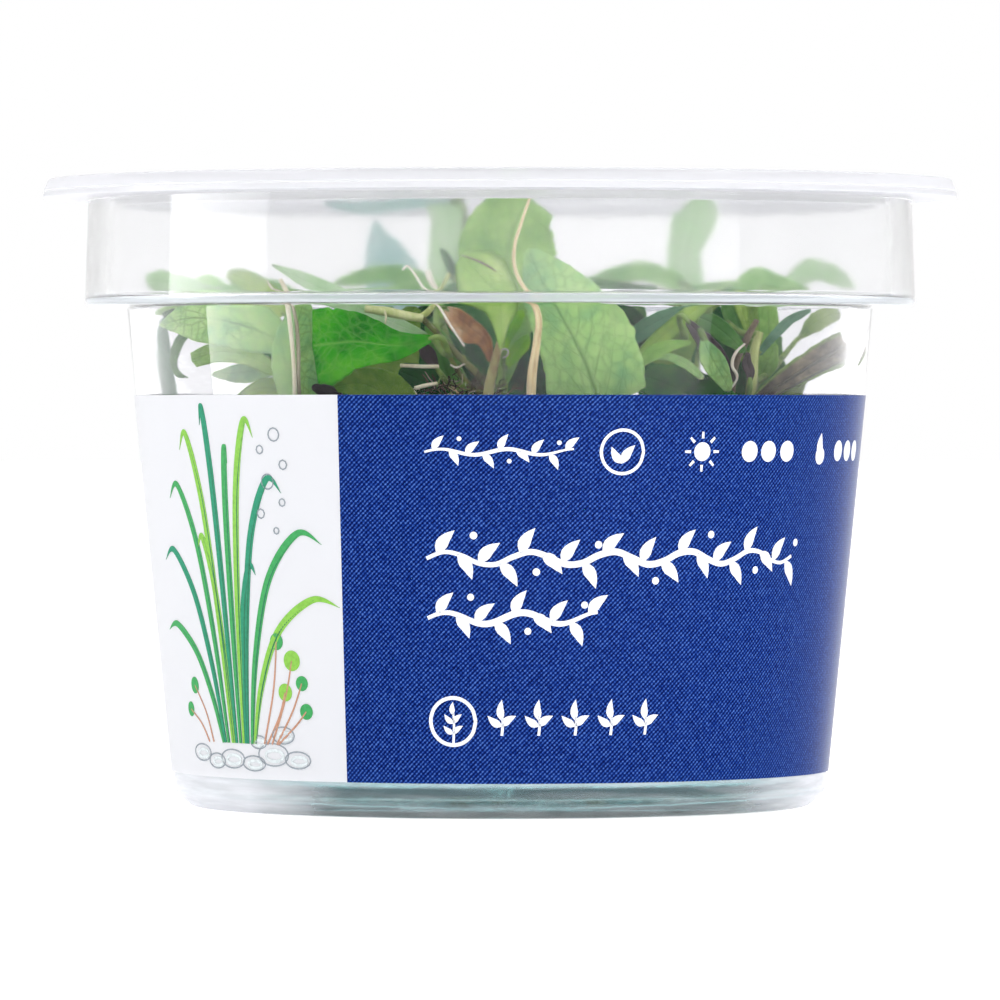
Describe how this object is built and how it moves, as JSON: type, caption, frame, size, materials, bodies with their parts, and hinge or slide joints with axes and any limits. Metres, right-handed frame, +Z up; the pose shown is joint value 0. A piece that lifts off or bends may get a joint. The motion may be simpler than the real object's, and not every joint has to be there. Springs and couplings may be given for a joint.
{
  "type": "aquarium plantlets in a jar",
  "caption": "Tissue-cultured broad-leaved water plantlets with roots in agar gel, in a clear tapered cup with a pressed-on lid and a wrap label.",
  "frame": {"origin": "centre of the foot, on the surface that the jar stands on", "axes": "+Z up along the jar's axis, -Y towards the front of the label, +X to its right"},
  "size_m": [0.1, 0.1, 0.0684],
  "materials": {
    "clear_plastic": "clear, slightly milky, moulded",
    "label_film": "printed film, satin",
    "agar_gel": "clear jelly",
    "leaf_light": "satin leaf, light green",
    "leaf_mid": "satin leaf, mid green",
    "leaf_dark": "satin leaf, dark green",
    "leaf_dead": "dry brown leaf",
    "stem": "smooth green stem",
    "stem_brown": "brown stem",
    "root": "pale root"
  },
  "bodies": {
    "root": {"cup": "clear_plastic", "gel": "agar_gel", "label": "label_film", "leaf_back_cross": "leaf_mid", "leaf_back_left": "leaf_light", "leaf_back_low": "leaf_mid", "leaf_back_right": "leaf_light", "leaf_back_wide": "leaf_mid", "leaf_behind_root": "leaf_light", "leaf_collar_left_1": "leaf_light", "leaf_collar_left_2": "leaf_mid", "leaf_collar_left_3": "leaf_light", "leaf_collar_right_1": "leaf_mid", "leaf_collar_right_2": "leaf_mid", "leaf_dead": "leaf_dead", "leaf_decaying": "leaf_dead", "leaf_folded": "leaf_light", "leaf_front_broad": "leaf_light", "leaf_hook": "leaf_mid", "leaf_left_broad": "leaf_light", "leaf_left_dark": "leaf_dark", "leaf_left_wall": "leaf_mid", "leaf_low_back": "leaf_dark", "leaf_low_front": "leaf_mid", "leaf_low_left": "leaf_mid", "leaf_low_right": "leaf_mid", "leaf_narrow_1": "leaf_mid", "leaf_narrow_2": "leaf_light", "leaf_narrow_3": "leaf_light", "leaf_pointed": "leaf_light", "leaf_right_arch": "leaf_light", "leaf_right_band": "leaf_mid", "leaf_right_blade": "leaf_light", "leaf_right_dark": "leaf_dark", "leaf_right_low": "leaf_dark", "leaf_right_mid": "leaf_mid", "leaf_right_olive": "leaf_mid", "leaf_right_purple": "leaf_dead", "leaf_tall": "leaf_light", "leaf_wall_green": "leaf_mid", "lid": "clear_plastic", "root_stick_1": "root", "root_stick_2": "root", "root_tan_front": "root", "root_tan_left": "root", "root_tip": "root", "root_white": "root", "stem_back": "stem", "stem_back_right": "stem", "stem_broad": "stem", "stem_brown": "stem_brown", "stem_front": "stem", "stem_leaning": "stem", "stem_left": "stem", "stem_middle": "stem", "stem_right": "stem", "stem_stub": "stem"}
  },
  "joints": []
}
